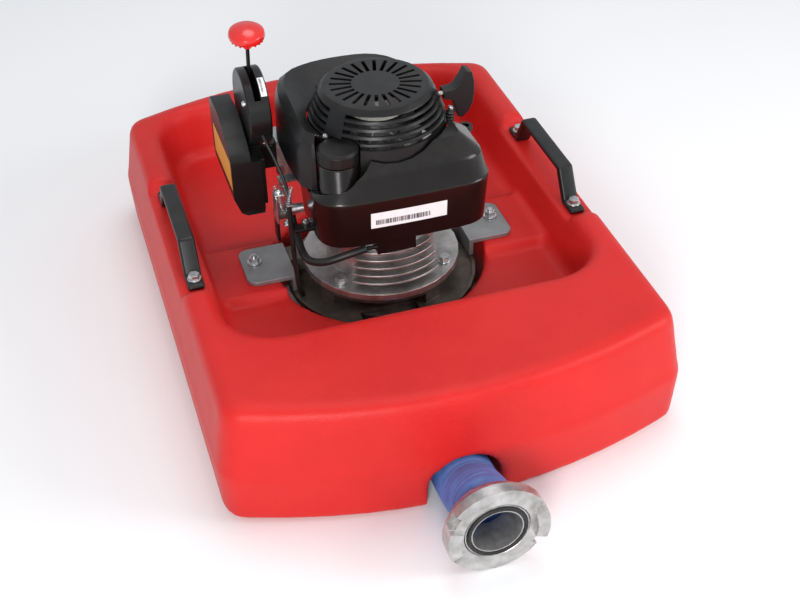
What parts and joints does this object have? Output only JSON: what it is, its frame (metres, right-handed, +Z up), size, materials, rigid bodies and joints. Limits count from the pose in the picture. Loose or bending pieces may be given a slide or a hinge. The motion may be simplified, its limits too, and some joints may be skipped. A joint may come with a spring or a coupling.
{
  "type": "portable fire pump",
  "caption": "Floating fire pump: a small vertical-shaft engine in a red plastic float drives a submerged centrifugal pump that delivers through a hose to a lugged coupling.",
  "frame": {"origin": "under the middle of the whole object, on the plane the float stands on", "axes": "+Z up; -Y towards the delivery coupling; +X to the right when facing +Y from the coupling"},
  "size_m": [0.6, 0.944, 0.443],
  "materials": {
    "red_plastic": "satin rotomoulded polyethylene, bright signal red",
    "black_plastic": "satin black injection-moulded plastic",
    "gloss_black": "glossy black, brown in the reflections",
    "cast_aluminium": "die-cast, lightly pebbled, satin",
    "dark_casting": "weathered grey-brown casting",
    "grey_steel": "grey satin plate",
    "zinc": "bright zinc plate",
    "steel": "bare satin steel",
    "black_rubber": "matt black rubber",
    "blue_rubber": "blue textile-finished rubber hose, faintly ribbed round",
    "red_knob": "glossy bright red",
    "filter_foam": "open-cell foam and paper",
    "rope": "braided cord, off-white",
    "ceramic": "white glazed insulator and steel hexagon"
  },
  "bodies": {
    "base": {"float_hull": "red_plastic", "bracket_left": "grey_steel", "bracket_right": "grey_steel", "bracket_nut_left": "zinc", "bracket_nut_right": "zinc", "handle_left": "black_plastic", "handle_right": "black_plastic", "handle_bolt_left_front": "zinc", "handle_bolt_left_rear": "zinc", "handle_bolt_right_front": "zinc", "handle_bolt_right_rear": "zinc", "pump_lantern": "dark_casting", "volute_casing": "dark_casting", "suction_cover": "dark_casting", "strainer": "steel", "shaft_seal": "black_rubber", "delivery_hose": "blue_rubber", "hose_clamp": "zinc", "coupling_tail": "cast_aluminium", "coupling_seal": "black_rubber", "engine_base": "cast_aluminium", "crankcase": "cast_aluminium", "cylinder": "cast_aluminium", "head_cover": "cast_aluminium", "spark_plug": "ceramic", "spark_plug_cap": "black_rubber", "muffler": "steel", "flange_bolt_1": "zinc", "flange_bolt_2": "zinc", "flange_bolt_3": "zinc", "fan_cover": "black_plastic", "recoil_housing": "black_plastic", "recoil_spring": "steel", "fuel_tank": "gloss_black", "fuel_hose": "black_rubber", "fuel_tap": "dark_casting", "carburettor": "cast_aluminium", "control_bracket": "zinc", "air_cleaner_base": "black_plastic", "air_filter": "filter_foam", "air_cleaner_cover": "black_plastic", "throttle_box": "black_plastic", "throttle_cable": "black_rubber", "drain_tube": "black_rubber"},
    "rotor": {"crankshaft": "steel", "flywheel_fan": "cast_aluminium", "impeller": "cast_aluminium"},
    "pulley": {"recoil_pulley": "black_plastic", "rope_coil": "rope"},
    "grip": {"starter_grip": "black_plastic", "starter_rope": "rope"},
    "lever": {"throttle_lever": "black_plastic", "throttle_knob": "red_knob"},
    "carb_arm": {"throttle_arm": "zinc"},
    "gov_arm": {"governor_arm": "zinc"},
    "tank_cap": {"fuel_cap": "black_plastic"},
    "dipstick": {"oil_cap": "black_plastic"},
    "tap_lever": {"fuel_tap_lever": "black_plastic"},
    "swivel": {"coupling_ring": "cast_aluminium"}
  },
  "joints": [
    {"name": "crankshaft_turn", "type": "hinge", "parent": "base", "child": "rotor", "pos_m": [0, 0.032, 0.2], "axis": [0, 0, 1], "continuous": true},
    {"name": "grip_pull", "type": "slide", "parent": "base", "child": "grip", "axis": [1, 0, 0], "range_m": [0, 0.5], "stiffness_N_per_m": 20, "springref_m": -0.3},
    {"name": "pulley_turn", "type": "hinge", "parent": "base", "child": "pulley", "pos_m": [0, 0.032, 0.344], "axis": [0, 0, 1], "range_deg": [0, 860]},
    {"name": "throttle_lever_turn", "type": "hinge", "parent": "base", "child": "lever", "pos_m": [-0.146, 0.118, 0.329], "axis": [1, 0, 0], "range_deg": [-6, 42]},
    {"name": "throttle_arm_turn", "type": "hinge", "parent": "base", "child": "carb_arm", "pos_m": [-0.1, 0.134, 0.265], "axis": [0, 0, 1], "range_deg": [-10, 62]},
    {"name": "governor_arm_turn", "type": "hinge", "parent": "base", "child": "gov_arm", "pos_m": [-0.084, 0.064, 0.245], "axis": [0, 0, 1], "range_deg": [-5, 27]},
    {"name": "fuel_cap_turn", "type": "hinge", "parent": "base", "child": "tank_cap", "pos_m": [-0.0705, -0.034, 0.32], "axis": [0, 0, 1], "range_deg": [0, 270]},
    {"name": "oil_cap_turn", "type": "hinge", "parent": "base", "child": "dipstick", "pos_m": [0.084, 0.066, 0.135], "axis": [0, 0, 1], "range_deg": [0, 350]},
    {"name": "fuel_tap_turn", "type": "hinge", "parent": "base", "child": "tap_lever", "pos_m": [-0.141, 0.034, 0.202], "axis": [1, 0, 0], "range_deg": [-90, 0]},
    {"name": "coupling_swivel", "type": "hinge", "parent": "base", "child": "swivel", "pos_m": [-0.015, -0.455, 0.0623], "axis": [0, 1, 0], "continuous": true}
  ],
  "couplings": [
    {"joint": "pulley_turn", "follows": "grip_pull", "rad_per_m": 29.4},
    {"joint": "throttle_arm_turn", "follows": "throttle_lever_turn", "ratio": 1.4},
    {"joint": "governor_arm_turn", "follows": "throttle_lever_turn", "ratio": 0.6}
  ]
}
